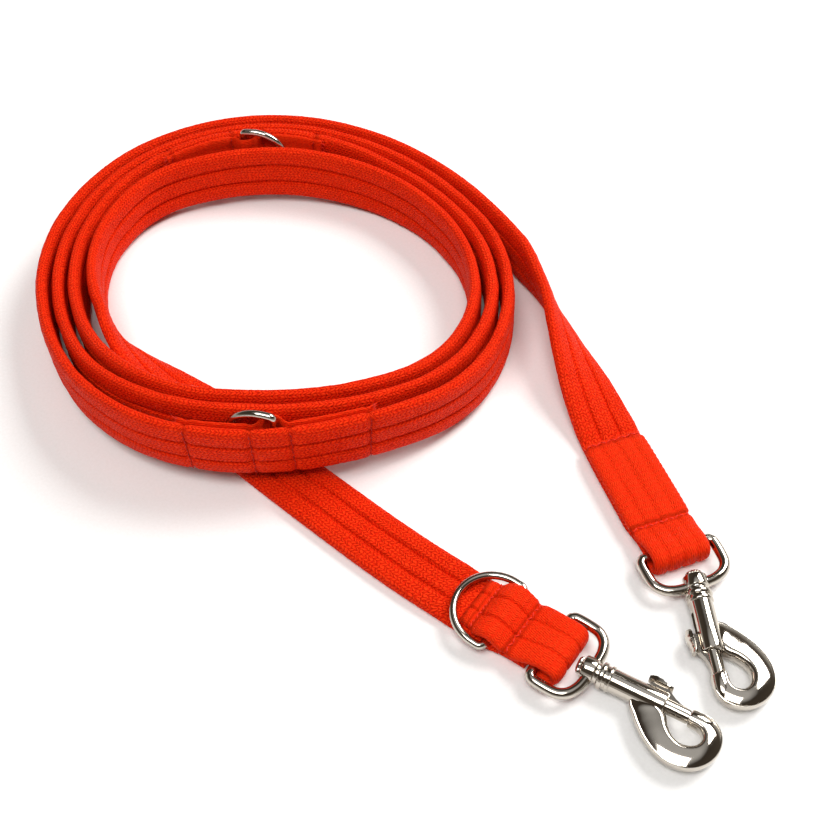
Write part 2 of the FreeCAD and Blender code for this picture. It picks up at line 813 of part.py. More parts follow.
def snap_spring(end):
    """The coil spring between the blind end of the bore and the bolt."""
    room = size("bolt_start") - size("bore_start") - 0.6
    radius = size("spring_radius")
    helix = Part.makeHelix(size("spring_pitch"), room - 2.0 * size("spring_wire"), radius)
    start = Vector(radius, 0, 0)
    circle = Part.makeCircle(size("spring_wire"), start, Vector(0, 1, 0))
    coil = Part.Wire(helix.Edges).makePipeShell([Part.Wire([circle])], True, True)
    coil.Placement = Placement(
        Vector(size("bore_start") + 0.3 + size("spring_wire"), 0, 0),
        Rotation(Vector(0, 0, 1), Vector(1, 0, 0)),
    )
    return add_shape(f"{end}_snap_spring", coil)


for end, swivel in SWIVELS.items():
    pieces = [snap_eye(end), snap_body(end), swivel_rivet(end), snap_bolt(end), snap_spring(end)]
    turn = Rotation(Vector(0, 0, 1), swivel["heading"])
    if swivel["face_down"]:
        turn = turn * Rotation(Vector(1, 0, 0), 180.0)
    where = Placement(swivel["collar"], turn)
    for piece in pieces:
        piece.Placement = where * piece.Placement

# ---------------------------------------------------------------- checks and files

doc.recompute()
for item in doc.Objects:
    if "Invalid" in item.State or "Error" in item.State:
        raise RuntimeError(f"{item.Name} did not build: {item.State}")

section_area = WIDTH * THICK
for part in parts:
    shape = part.Shape
    if shape.isNull() or not shape.isValid() or not shape.Solids:
        raise RuntimeError(f"{part.Label} has no valid solid")

coil_shape = next(p.Shape for p in parts if p.Label == "strap_coil")
print("strap length", round(PATH.length, 1))
print("coil volume over section times length",
      round(coil_shape.Volume / (section_area * (COIL_ENDS - COIL_STARTS)), 4))
print("bend radii", [round(r) for r in PATH.radii])
runs = [(b[0] - a[0]).Length for a, b in zip(ROUTE, ROUTE[1:])]
print("runs", [round(r, 1) for r in runs])

os.makedirs("parts", exist_ok=True)
for part in parts:
    part.Shape.exportStep(f"parts/{part.Label}.step")
    box = part.Shape.BoundBox
    print(part.Label, len(part.Shape.Solids), round(part.Shape.Volume), [round(v, 1) for v in (
        box.XMin, box.YMin, box.ZMin, box.XMax, box.YMax, box.ZMax)])
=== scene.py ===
"""Looks of a double-ended training leash: padded web, two swivel bolt snaps and three D-rings."""
import bmesh
import bpy
import math
from mathutils import Matrix, Vector, noise


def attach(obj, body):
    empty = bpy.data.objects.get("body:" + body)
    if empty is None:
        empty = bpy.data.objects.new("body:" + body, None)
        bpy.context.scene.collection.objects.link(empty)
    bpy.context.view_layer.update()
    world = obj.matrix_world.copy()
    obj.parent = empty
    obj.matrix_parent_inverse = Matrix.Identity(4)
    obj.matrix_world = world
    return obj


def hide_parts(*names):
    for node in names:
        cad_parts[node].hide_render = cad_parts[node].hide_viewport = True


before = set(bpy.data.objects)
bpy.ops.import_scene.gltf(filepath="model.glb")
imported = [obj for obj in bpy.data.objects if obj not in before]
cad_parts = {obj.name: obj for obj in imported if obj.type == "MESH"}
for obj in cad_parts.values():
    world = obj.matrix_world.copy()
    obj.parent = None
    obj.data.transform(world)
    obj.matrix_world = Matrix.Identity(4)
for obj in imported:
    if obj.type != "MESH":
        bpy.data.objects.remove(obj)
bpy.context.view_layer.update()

MM = 0.001
scene = bpy.context.scene

# ---------------------------------------------------------------- camera

CAMERA_AT = Vector((0.0235, -0.3180, 0.3792))
CAMERA_PITCH = 50.64
CAMERA_ROLL = -3.0
CAMERA_LENS = 51.43

camera_data = bpy.data.cameras.new("camera")
camera_data.lens = CAMERA_LENS
camera_data.sensor_width = 36.0
camera_data.clip_start = 0.01
camera = bpy.data.objects.new("camera", camera_data)
scene.collection.objects.link(camera)
camera.matrix_world = (
    Matrix.Translation(CAMERA_AT)
    @ Matrix.Rotation(math.radians(90.0 - CAMERA_PITCH), 4, "X")
    @ Matrix.Rotation(math.radians(CAMERA_ROLL), 4, "Z")
)
scene.camera = camera

# ---------------------------------------------------------------- the strap's route
# The same points as the CAD model's, in millimetres, with the roll of the web at each.

WEB_WIDTH = 25.0
WEB_THICK = 4.8
COIL_CENTRE = (-37.0, 70.0)
POINTS_PER_TURN = 16
COIL_RADII = (
    (109, 96, 91.7, 90.4, 92.3, 96.5, 101.5, 102, 100, 98.5, 101.5, 106, 106, 107.5, 112, 107),
    (99, 88.5, 84.5, 83.6, 85.8, 89.9, 94.7, 95, 93, 91.5, 93.5, 94, 93.5, 99, 103.5, 100),
    (92, 82, 77.5, 77.3, 80, 83.9, 88.1, 88.5, 86, 84.5, 86.5, 87.5, 86.5, 91.5, 96, 92.5),
    (84.5, 75.5, 70, 65.7, 65.6, 69.8, 80.6, 81.7, 78.5, 75),
)
INNER_LEANS = (0, 2, 6, 9, 10, 6, 2, 0, 0, 0)
FRONT_STARTS = (200.0, 198.0, 190.0, 190.0)
FRONT_LIFT = 9.3
BACK_LIFTS = (3.8, 3.8, 5.3, 3.8)
FLOOR_GAP = 0.3
TWIST_GAP = 0.5
PLAIN_TAIL = (
    (114.1, -76.4, 0),
    (108.6, -57.7, 0),
    (102.9, -39.0, 0),
    (97.4, -19.2, 1),
    (91.7, 1.6, 22),
    (86.8, 21.5, 48),
    (82.2, 41.5, 72),
)
RING_TAIL = (
    (-96.5, 27.5, 125),
    (-83.5, 15.0, 152),
    (-69.5, 4.0, 173),
    (-53.5, -10.0, 180),
    (-34.5, -29.0, 180),
    (-12.0, -50.8, 180),
    (13.5, -74.8, 180),
    (38.0, -95.1, 180),
    (61.5, -113.5, 180),
)


def ease(share):
    share = min(max(share, 0.0), 1.0)
    return share * share * (3.0 - 2.0 * share)


def bell(offset, width):
    """1 at no offset, falling smoothly to nothing a few widths away."""
    return math.exp(-((offset / width) ** 2))


def lift(angle, turn):
    """How far the lower edge is held up: over the ring-end tail in front, over a ring behind."""
    front = ease((angle - FRONT_STARTS[turn]) / 45.0) - ease((angle - 285.0) / 48.0)
    back = ease((angle - 45.0) / 40.0) - ease((angle - 115.0) / 40.0)
    return FLOOR_GAP + FRONT_LIFT * max(front, 0.0) + BACK_LIFTS[turn] * max(back, 0.0)


def route_points():
    """Control points of the strap's middle line in metres, each with its roll in degrees."""
    stations = [(x, y, roll, TWIST_GAP * math.sin(math.radians(roll))) for x, y, roll in PLAIN_TAIL]
    step = 360.0 / POINTS_PER_TURN
    reach = 1.0 / math.cos(math.radians(step / 2.0))
    for turn, radii in enumerate(COIL_RADII):
        for number, radius in enumerate(radii):
            angle = math.radians(number * step)
            lean = INNER_LEANS[number] if turn == len(COIL_RADII) - 1 else 0.0
            stations.append((COIL_CENTRE[0] + math.cos(angle) * radius * reach,
                             COIL_CENTRE[1] + math.sin(angle) * radius * reach,
                             90.0 + lean, lift(number * step, turn)))
    stations += [(x, y, roll, TWIST_GAP * math.sin(math.radians(roll))) for x, y, roll in RING_TAIL]
    route = []
    for x, y, roll, raised in stations:
        turned = math.radians(roll)
        height = WEB_WIDTH / 2.0 * math.sin(turned) + WEB_THICK / 2.0 * abs(math.cos(turned))
        route.append((Vector((x, y, height + raised)) * MM, roll))
    return route


def nurbs_line(points, resolution=12):
    """Points along a smooth spline through these control points, as Blender samples it."""
    data = bpy.data.curves.new("route", "CURVE")
    data.dimensions = "3D"
    data.resolution_u = resolution
    spline = data.splines.new("NURBS")
    spline.points.add(len(points) - 1)
    for place, point in zip(spline.points, points):
        place.co = (*point, 1.0)
    spline.order_u = 3
    spline.use_endpoint_u = True
    curve = bpy.data.objects.new("route", data)
    scene.collection.objects.link(curve)
    line = bpy.data.meshes.new_from_object(curve)
    samples = [v.co.copy() for v in line.vertices]
    bpy.data.meshes.remove(line)
    bpy.data.objects.remove(curve)
    bpy.data.curves.remove(data)
    return samples


def between(table, place):
    """Straight-line interpolation in a list of (place, value)."""
    if place <= table[0][0]:
        return table[0][1]
    for (a, low), (b, high) in zip(table, table[1:]):
        if place <= b:
            return low + (high - low) * (place - a) / (b - a)
    return table[-1][1]


ROUTE = route_points()
SAMPLES = nurbs_line([point for point, roll in ROUTE])
LINE_PLACES = [0.0]
for a, b in zip(SAMPLES, SAMPLES[1:]):
    LINE_PLACES.append(LINE_PLACES[-1] + (b - a).length)
STRAP_LENGTH = LINE_PLACES[-1]

KNOTS = len(ROUTE) - 2
ROLL_TABLE = []
MARKS = []
for index, (point, roll) in enumerate(ROUTE):
    knot = min(max(index - 0.5, 0.0), KNOTS)
    sample = knot / KNOTS * (len(SAMPLES) - 1)
    low = min(int(sample), len(SAMPLES) - 2)
    place = LINE_PLACES[low] + (LINE_PLACES[low + 1] - LINE_PLACES[low]) * (sample - low)
    ROLL_TABLE.append((place, roll))
    MARKS.append(place)

COIL_FIRST = len(PLAIN_TAIL)
MIDDLE_RING_AT = MARKS[COIL_FIRST + 12] + 4.6 * MM
FAR_RING_AT = MARKS[COIL_FIRST + 2 * POINTS_PER_TURN + 4] + 14.5 * MM


def line_point(place):
    """The point on the strap's middle line at a distance from its start."""
    place = min(max(place, 0.0), STRAP_LENGTH)
    low, high = 0, len(LINE_PLACES) - 1
    while high - low > 1:
        middle = (low + high) // 2
        if LINE_PLACES[middle] <= place:
            low = middle
        else:
            high = middle
    span = LINE_PLACES[high] - LINE_PLACES[low]
    return SAMPLES[low].lerp(SAMPLES[high], (place - LINE_PLACES[low]) / span)


def strap_frame(place):
    """(middle, across, face): across points to the upper edge, face out of the coil."""
    middle = line_point(place)
    along = (line_point(place + 2.5 * MM) - line_point(place - 2.5 * MM)).normalized()
    left = Vector((-along.y, along.x, 0.0)).normalized()
    up = along.cross(left)
    turned = math.radians(between(ROLL_TABLE, place))
    across = left * math.cos(turned) + up * math.sin(turned)
    face = up * math.cos(turned) - left * math.sin(turned)
    return middle, across, face


# ---------------------------------------------------------------- web

HALF_PLACES = (0.0, 0.08, 0.16, 0.22, 0.265, 0.295, 0.316, 0.333, 0.350, 0.371, 0.401, 0.445, 0.52,
               0.62, 0.72, 0.81, 0.88, 0.93, 0.965, 0.986, 0.997)
ACROSS_PLACES = [-p for p in reversed(HALF_PLACES[1:])] + list(HALF_PLACES)


def wobble(along, across, seed):
    """Small unevenness of the woven web, -1 to 1."""
    return noise.noise(Vector((along, across, seed)))


EDGE_POWER = 7.0
GROOVE_WIDTH = 0.052


def web_half_height(share, thick, groove, grooves):
    """Half the web's thickness at a share of its half width, with grooves between padded ribs."""
    body = (1.0 - abs(share) ** EDGE_POWER) ** 0.45
    depth = 0.0
    for place in grooves:
        depth = max(depth, bell(share - place, GROOVE_WIDTH))
    return thick / 2.0 * body * (1.0 - groove * depth)


def add_ribbon(name, rings):
    """A strap of web through its rings; each ring is (points on top, points below, distance)."""
    vertices = []
    faces = []
    coordinates = []
    count = len(rings[0][0])
    around = 2 * count
    for top, below, place in rings:
        outline = list(top) + list(reversed(below))
        vertices += outline
        spread = 0.0
        row = [0.0]
        for a, b in zip(outline, outline[1:]):
            spread += (b - a).length
            row.append(spread)
        row.append(spread + (outline[0] - outline[-1]).length)
        coordinates.append((place, row))
    uv = []
    for number in range(len(rings) - 1):
        here = number * around
        ahead = here + around
        for k in range(around):
            following = (k + 1) % around
            faces.append((here + k, here + following, ahead + following, ahead + k))
            (near, row), (far, row_ahead) = coordinates[number], coordinates[number + 1]
            uv.append(((near, row[k]), (near, row[k + 1]),
                       (far, row_ahead[k + 1]), (far, row_ahead[k])))
    for base, flip in ((0, False), ((len(rings) - 1) * around, True)):
        place, row = coordinates[-1 if flip else 0]
        for k in range(count - 1):
            face = (base + k, base + around - 1 - k, base + around - 2 - k, base + k + 1)
            shares = (row[k], row[k], row[k + 1], row[k + 1])
            spots = [(place, s) for s in shares]
            if flip:
                face = tuple(reversed(face))
                spots.reverse()
            faces.append(face)
            uv.append(tuple(spots))
    mesh = bpy.data.meshes.new(name)
    mesh.from_pydata([tuple(v) for v in vertices], [], faces)
    layer = mesh.uv_layers.new(name="web")
    for polygon, spots in zip(mesh.polygons, uv):
        for loop, spot in zip(polygon.loop_indices, spots):
            layer.data[loop].uv = spot
        polygon.use_smooth = True
    mesh.validate()
    piece = bpy.data.objects.new(name, mesh)
    scene.collection.objects.link(piece)
    return piece


def web_ring(middle, across, face, place, half_width, top, below):
    """Points of one ring; top and below give the height of each side at a share of the half width."""
    upper = []
    lower = []
    for share in ACROSS_PLACES:
        side = middle + across * (share * half_width)
        upper.append(side + face * top(share))
        lower.append(side - face * below(share))
    return upper, lower, place


THREE_RIBS = (-1.0 / 3.0, 1.0 / 3.0)
VISIBLE_THICK = 5.3 * MM
STRAP_STEP = 1.25 * MM
STRAP_HALF_WIDTH = 12.3 * MM
SEWN_THICK = 3.9 * MM
SEWN_DROP = 0.45 * MM
GROOVE = 0.52
PLAIN_SEWN_TO = 52.0 * MM
PATCH_ROWS = (-33.0 * MM, -8.0 * MM, 7.2 * MM, 37.0 * MM)
PATCH_BACK = 37.0 * MM
PATCH_FRONT = 39.5 * MM
PATCH_THICK = 2.3 * MM
PATCH_HALF_WIDTH = 12.2 * MM
PATCH_HUMP = 3.5 * MM
PATCH_ROW_WIDTH = 22.5 * MM
RING_RETURN = 31.5 * MM


def row_pinch(place):
    """How much a sewn row squeezes the strap in the coil, 0 to 1."""
    pinch = 0.0
    for ring in (MIDDLE_RING_AT, FAR_RING_AT):
        for row in PATCH_ROWS:
            pinch = max(pinch, bell(place - ring - row, 1.1 * MM))
    return pinch


def strap_rings():
    """Every ring of the strap, from the plain end's fold to the ring end's."""
    rings = []
    count = int(STRAP_LENGTH / STRAP_STEP)
    for number in range(count + 1):
        place = STRAP_LENGTH * number / count
        middle, across, face = strap_frame(place)
        plain_sewn = 1.0 - ease((place - PLAIN_SEWN_TO) / (7.0 * MM))
        ring_sewn = 1.0 - ease((STRAP_LENGTH - place - RING_RETURN) / (9.0 * MM))
        sewn = max(plain_sewn, ring_sewn)
        neck = max(1.0 - ease((place - 4.0 * MM) / (12.0 * MM)),
                   1.0 - ease((STRAP_LENGTH - place - 7.0 * MM) / (12.0 * MM)))
        pinch = row_pinch(place)
        thick = VISIBLE_THICK - (VISIBLE_THICK - SEWN_THICK) * sewn
        scallop = 0.16 * math.sin(place / (0.42 * MM)) + 0.3 * wobble(place * 420.0, 0.0, 3.0)
        half = STRAP_HALF_WIDTH - 1.5 * MM * neck - 0.45 * MM * pinch + 0.3 * MM * scallop
        groove = GROOVE * (1.0 - 0.6 * sewn)

        def height(share, side):
            rib = wobble(place * 55.0, share * 1.6, side)
            fine = wobble(place * 260.0, share * 6.0, side + 5.0)
            base = web_half_height(share, thick, groove, THREE_RIBS)
            return base * (1.0 + 0.14 * rib + 0.07 * fine - 0.42 * pinch)

        shift = Vector((0.0, 0.0, -SEWN_DROP * sewn))
        rings.append(web_ring(middle + shift, across, face, place, half,
                              lambda s: height(s, 1.0), lambda s: height(s, 9.0)))
    return rings


strap = add_ribbon("strap_web", strap_rings())
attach(strap, "strap")
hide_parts("strap_plain_tail", "strap_plain_twist", "strap_coil", "strap_ring_twist",
            "strap_ring_tail")

# ---------------------------------------------------------------- folded and sewn-back ends

ENDS = {
    "plain_end": {"bar": Vector((114.662, -78.955, 0.0)) * MM, "eye_heading": -73.1,
                  "collar": Vector((119.5, -97.9, 5.4)) * MM, "heading": -88.3, "flip": False},
    "ring_end": {"bar": Vector((64.797, -115.88, 0.0)) * MM, "eye_heading": -38.4,
                 "collar": Vector((80.4, -127.8, 5.4)) * MM, "heading": -32.4, "flip": True},
}


def heading(degrees):
    return Vector((math.cos(math.radians(degrees)), math.sin(math.radians(degrees)), 0.0))


def end_axes(end):
    """(along, across) at a fold: along points to the eye."""
    along = heading(ENDS[end]["eye_heading"])
    return along, Vector((-along.y, along.x, 0.0))


def smooth_line(points, steps=10):
    """A quadratic curve that rounds the corners of a short outline, for small sewn pieces."""
    line = [Vector(points[0])]
    middles = [(Vector(a) + Vector(b)) / 2.0 for a, b in zip(points, points[1:])]
    for corner, start, end in zip(points[1:-1], middles, middles[1:]):
        corner = Vector(corner)
        for step in range(steps):
            t = step / steps
            line.append(start * (1 - t) ** 2 + corner * 2 * t * (1 - t) + end * t ** 2)
    line.append(middles[-1])
    line.append(Vector(points[-1]))
    return line


def even_line(points, step):
    """Evenly spaced points with their distances along a polyline."""
    places = [0.0]
    for a, b in zip(points, points[1:]):
        places.append(places[-1] + (b - a).length)
    count = max(2, int(places[-1] / step))
    out = []
    index = 0
    for number in range(count + 1):
        place = places[-1] * number / count
        while index < len(places) - 2 and places[index + 1] < place:
            index += 1
        span = places[index + 1] - places[index]
        share = (place - places[index]) / span if span > 1e-12 else 0.0
        out.append((points[index].lerp(points[index + 1], min(share, 1.0)), place))
    return out


# Each fold's middle line in its own side view, in millimetres: x towards the eye, then height.
PLAIN_FOLD = ((-2.0, 1.95), (0.0, 1.85), (2.6, 1.75), (5.1, 3.0), (5.1, 7.8), (2.6, 9.0), (-1.0, 8.9),
              (-5.5, 7.2), (-9.5, 5.75), (-14.0, 5.65), (-20.0, 5.85), (-30.0, 5.9), (-40.0, 5.85),
              (-49.0, 5.7), (-53.5, 5.1), (-55.6, 4.3))
RING_FOLD = ((-2.0, 1.95), (2.0, 1.85), (5.2, 1.75), (7.7, 3.0), (7.7, 7.8), (5.2, 9.0), (1.0, 8.9),
             (-4.0, 7.6), (-8.5, 5.9), (-11.5, 5.6), (-14.5, 6.8), (-17.5, 8.9), (-19.6, 9.3),
             (-21.7, 8.9), (-24.2, 6.6), (-27.0, 5.5), (-29.5, 5.4), (-31.8, 4.9))
END_ROWS = {"plain_end": (12.0, 53.6), "ring_end": (11.3, 27.0)}
END_RIBS = {"plain_end": (-0.5, 0.0, 0.5), "ring_end": (-0.36, 0.34)}
FOLD_HALF_WIDTH = 12.4 * MM
FOLD_NECK = 1.1 * MM


def fold_half_width(end, x):
    """Half the web's width along a fold, x in metres towards the eye."""
    if end == "plain_end":
        neck = ease((x + 13.0 * MM) / (11.0 * MM))
        return FOLD_HALF_WIDTH - FOLD_NECK * neck
    neck = ease((x + 9.0 * MM) / (11.0 * MM))
    flap = 1.0 - ease((x + RING_RETURN) / (8.0 * MM))
    return FOLD_HALF_WIDTH - FOLD_NECK * neck - 2.4 * MM * flap


def make_fold(end, outline, node):
    """The web round the eye and the layer sewn back over the strap."""
    bar = ENDS[end]["bar"]
    along, across = end_axes(end)
    line = smooth_line([Vector((x, 0.0, z)) * MM for x, z in outline])
    rings = []
    points = even_line(line, 0.8 * MM)
    total = points[-1][1]
    for number, (point, place) in enumerate(points):
        before = points[max(number - 1, 0)][0]
        after = points[min(number + 1, len(points) - 1)][0]
        run = (after - before).normalized()
        normal = Vector((run.z, 0.0, -run.x))
        pinch = 0.0
        if point.z > 4.5 * MM:
            for row in END_ROWS[end]:
                pinch = max(pinch, bell(point.x + row * MM, 1.3 * MM))
        tip = ease((total - place) / (1.6 * MM))
        satin = ease((point.x + 14.0 * MM) / (8.0 * MM))
        thick = (4.4 - 0.4 * satin) * MM * (0.45 + 0.55 * tip)
        half = fold_half_width(end, point.x) - 0.75 * MM * pinch
        half += 0.12 * MM * math.sin(place / (0.40 * MM)) * (1.0 - satin)
        middle = bar + along * point.x + Vector((0.0, 0.0, point.z))
        face = along * normal.x + Vector((0.0, 0.0, normal.z))
        groove = 0.42 * (1.0 - 0.25 * satin)

        def height(share, side):
            rib = wobble(place * 70.0, share * 2.0, side)
            fine = wobble(place * 300.0, share * 7.0, side + 4.0)
            base = web_half_height(share, thick, groove, END_RIBS[end])
            return base * (1.0 + 0.14 * rib + 0.06 * fine - 0.50 * pinch)

        rings.append(web_ring(middle, across, face * -1.0, place, half,
                              lambda s: height(s, 2.0), lambda s: height(s, 12.0)))
    piece = add_ribbon(f"{end}_fold", rings)
    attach(piece, "strap")
    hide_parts(node)
    return piece


plain_fold = make_fold("plain_end", PLAIN_FOLD, "plain_end_loop")
ring_fold = make_fold("ring_end", RING_FOLD, "ring_end_loop")

# ---------------------------------------------------------------- patches over the coil's rings


def make_patch(name, ring_at, node):
    """The short web sewn on the inner face and humped over the ring's bar; its frayed ends are the
    tufts that patch_fringe adds.
    """
    rings = []
    count = int((PATCH_BACK + PATCH_FRONT) / (0.9 * MM))
    for number in range(count + 1):
        offset = -PATCH_BACK + (PATCH_BACK + PATCH_FRONT) * number / count
        middle, across, face = strap_frame(ring_at + offset)
        pinch = max(bell(offset - row, 1.2 * MM) for row in PATCH_ROWS)
        hump = PATCH_HUMP * (1.0 - ease((abs(offset) - 1.9 * MM) / (4.6 * MM)))
        base = VISIBLE_THICK / 2.0 - 0.25 * MM + hump - 0.5 * MM * pinch + PATCH_THICK / 2.0
        half = PATCH_HALF_WIDTH - 0.3 * MM * pinch + 0.3 * MM * wobble(offset * 300.0, 1.0, ring_at)

        def height(share, side):
            fine = wobble(offset * 260.0, share * 7.0, side)
            ribs = web_half_height(share, PATCH_THICK, 0.25, (-0.6, -0.2, 0.2, 0.6))
            return ribs * (1.0 + 0.10 * fine - 0.25 * pinch)

        rings.append(web_ring(middle - face * base, across, face, offset, half,
                              lambda s: height(s, 1.0), lambda s: height(s, 7.0)))
    piece = add_ribbon(name, rings)
    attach(piece, "strap")
    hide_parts(node)
    return piece


middle_patch = make_patch("middle_patch", MIDDLE_RING_AT, "middle_ring_patch")
far_patch = make_patch("far_patch", FAR_RING_AT, "far_ring_patch")

# ---------------------------------------------------------------- thread


def add_tubes(name, lines, radius, sides=7):
    """Round threads along polylines, as one mesh with rounded ends."""
    vertices = []
    faces = []
    for line in lines:
        base = len(vertices)
        count = len(line)
        for number, point in enumerate(line):
            run = (line[min(number + 1, count - 1)] - line[max(number - 1, 0)]).normalized()
            side = run.cross(Vector((0.31, 0.17, 0.93))).normalized()
            up = run.cross(side)
            size = radius * (0.35 if number in (0, count - 1) else 1.0)
            for k in range(sides):
                angle = 2.0 * math.pi * k / sides
                vertices.append(point + side * (math.cos(angle) * size)
                                + up * (math.sin(angle) * size))
        for number in range(count - 1):
            for k in range(sides):
                a = base + number * sides + k
                b = base + number * sides + (k + 1) % sides
                faces.append((a, b, b + sides, a + sides))
        faces.append(tuple(base + k for k in reversed(range(sides))))
        faces.append(tuple(base + (count - 1) * sides + k for k in range(sides)))
    mesh = bpy.data.meshes.new(name)
    mesh.from_pydata([tuple(v) for v in vertices], [], faces)
    for polygon in mesh.polygons:
        polygon.use_smooth = True
    piece = bpy.data.objects.new(name, mesh)
    scene.collection.objects.link(piece)
    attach(piece, "strap")
    return piece


def arch(start, end, out, height, steps=6):
    """One stitch: up out of the cloth, across and down again."""
    line = []
    for number in range(steps + 1):
        t = number / steps
        line.append(start.lerp(end, t) + out * (height * (math.sin(math.pi * t) ** 0.6 * 1.6 - 0.6)))
    return line


def zigzag(middle, across, along, out, width, teeth, sway, height, seed):
    """A row of short stitches that leans one way and the other."""
    lines = []
    for number in range(teeth):
        left = -width / 2.0 + width * number / teeth
        right = -width / 2.0 + width * (number + 1) / teeth
        jitter = sway * (1.0 + 0.4 * wobble(number * 1.7, 0.3, seed))
        lean = jitter if number % 2 else -jitter
        a = middle + across * (left + 0.1 * MM) - along * lean
        b = middle + across * (right - 0.1 * MM) + along * lean
        lines.append(arch(a, b, out, height))
    return lines


def end_thread(end, heights, seed):
    """The rows across a sewn-back layer."""
    bar = ENDS[end]["bar"]
    along, across = end_axes(end)
    up = Vector((0.0, 0.0, 1.0))
    lines = []
    for row, z in zip(END_ROWS[end], heights):
        middle = bar - along * (row * MM) + up * (z * MM)
        width = 2.0 * fold_half_width(end, -row * MM) - 1.8 * MM
        lines += zigzag(middle, across, along, up, width, 11, 0.55 * MM, 0.35 * MM, seed + row)
    return lines


plain_thread = add_tubes("plain_end_thread", end_thread("plain_end", (6.6, 6.6), 1.0), 0.27 * MM)
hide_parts("plain_end_stitching")
ring_thread = add_tubes("ring_end_thread", end_thread("ring_end", (6.7, 6.5), 2.0), 0.27 * MM)
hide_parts("ring_end_stitching")


def patch_thread(ring_at, seed):
    """Rows through the strap and the patch, seen on both faces."""
    lines = []
    for row in PATCH_ROWS:
        middle, across, face = strap_frame(ring_at + row)
        ahead = strap_frame(ring_at + row + 2.0 * MM)[0]
        along = (ahead - middle).normalized()
        outer = VISIBLE_THICK / 2.0 * 0.62
        inner = VISIBLE_THICK / 2.0 - 0.75 * MM + PATCH_THICK
        lines += zigzag(middle + face * outer, across, along, face, PATCH_ROW_WIDTH, 9,
                        0.25 * MM, 0.25 * MM, seed + row)
        lines += zigzag(middle - face * inner, across, along, face * -1.0, PATCH_ROW_WIDTH, 9,
                        0.3 * MM, 0.3 * MM, seed + row + 4.0)
    return lines


middle_thread = add_tubes("middle_patch_thread", patch_thread(MIDDLE_RING_AT, 3.0), 0.24 * MM)
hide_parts("middle_patch_stitching")
far_thread = add_tubes("far_patch_thread", patch_thread(FAR_RING_AT, 5.0), 0.24 * MM)
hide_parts("far_patch_stitching")


def fringe(name, starts, seed, long=3.2):
    """Loose threads at a cut edge of web: each start is (point, direction, side)."""
    lines = []
    for number, (point, run, side) in enumerate(starts):
        reach = long * MM * (0.55 + 0.45 * wobble(number * 1.3, 0.7, seed))
        drift = wobble(number * 0.9, 2.1, seed + 3.0)
        curl = wobble(number * 1.1, 4.4, seed + 6.0)
        lift_by = run.cross(side)
        lines.append([
            point + run * (reach * t) + side * (drift * reach * 0.7 * t * t)
            + lift_by * (curl * reach * 0.5 * t * t)
            for t in (-0.4, 0.0, 0.35, 0.7, 1.0)
        ])
    return add_tubes(name, lines, 0.17 * MM, 5)


def patch_fringe(name, ring_at, seed):
    """Tufts at both cut ends of a patch."""
    starts = []
    for edge, forward in ((-PATCH_BACK, -1.0), (PATCH_FRONT, 1.0)):
        middle, across, face = strap_frame(ring_at + edge)
        along = (strap_frame(ring_at + edge + 2.0 * MM)[0] - middle).normalized() * forward
        for number in range(34):
            share = -1.0 + 2.0 * number / 33.0
            layer = (number % 3) * 0.5 * MM
            depth = VISIBLE_THICK / 2.0 + 0.5 * MM + layer
            spot = middle + across * (share * 12.0 * MM) - face * depth
            starts.append((spot, (along - face * 0.25).normalized(), across))
    return fringe(name, starts, seed)


middle_fringe = patch_fringe("middle_patch_fringe", MIDDLE_RING_AT, 3.0)
far_fringe = patch_fringe("far_patch_fringe", FAR_RING_AT, 8.0)


def flap_fringe(end, edge_x, z, count, seed):
    """Threads at the cut end of a sewn-back layer."""
    bar = ENDS[end]["bar"]
    along, across = end_axes(end)
    half = fold_half_width(end, edge_x * MM) - 0.8 * MM
    starts = []
    for number in range(count):
        share = -1.0 + 2.0 * number / (count - 1.0)
        spot = bar + along * ((edge_x + 1.2) * MM) + across * (share * half)
        spot.z = (z + 0.5 * (number % 3)) * MM
        starts.append((spot, (along * -1.0 + Vector((0.0, 0.0, 0.1))).normalized(), across))
    return fringe(f"{end}_flap_fringe", starts, seed, 3.0)


plain_fringe = flap_fringe("plain_end", -55.4, 3.6, 26, 1.0)
ring_fringe = flap_fringe("ring_end", -31.8, 4.0, 26, 5.0)

# ---------------------------------------------------------------- snap hardware
# Each mesh below is in the snap's own frame, in millimetres: X from the collar to the nose, with the
# hook on the +Y side of the barrel.


def snap_matrix(end):
    data = ENDS[end]
    turn = Matrix.Rotation(math.radians(data["heading"]), 4, "Z")
    if data["flip"]:
        turn = turn @ Matrix.Rotation(math.pi, 4, "X")
    return Matrix.Translation(data["collar"]) @ turn @ Matrix.Scale(MM, 4)


SHARP_ANGLE = math.radians(38.0)


def place_mesh(name, end, body, slot, vertices, faces):
    """A hardware mesh set down at its snap, with crisp edges where its faces meet sharply."""
    matrix = snap_matrix(end)
    mesh = bpy.data.meshes.new(name)
    mesh.from_pydata([tuple(matrix @ Vector(v)) for v in vertices], [], faces)
    mesh.validate()
    for polygon in mesh.polygons:
        polygon.use_smooth = True
    mesh.set_sharp_from_angle(angle=SHARP_ANGLE)
    piece = bpy.data.objects.new(name, mesh)
    scene.collection.objects.link(piece)
    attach(piece, body)
    return piece


def revolve(outline, sides=72, flutes=None):
    """Closed solid turned about X from (x, radius) points; flutes is (first, last, count, depth)."""
    vertices = []
    faces = []
    for number, (x, radius) in enumerate(outline):
        for k in range(sides):
            angle = 2.0 * math.pi * k / sides
            size = radius
            if flutes and flutes[0] <= number <= flutes[1]:
                size -= flutes[3] * (0.5 - 0.5 * math.cos(angle * flutes[2])) ** 2
            vertices.append((x, size * math.cos(angle), size * math.sin(angle)))
    for number in range(len(outline) - 1):
        for k in range(sides):
            following = (k + 1) % sides
            a = number * sides
            faces.append((a + k, a + sides + k, a + sides + following, a + following))
    faces.append(tuple(range(sides)))
    last = (len(outline) - 1) * sides
    faces.append(tuple(last + k for k in reversed(range(sides))))
    return vertices, faces


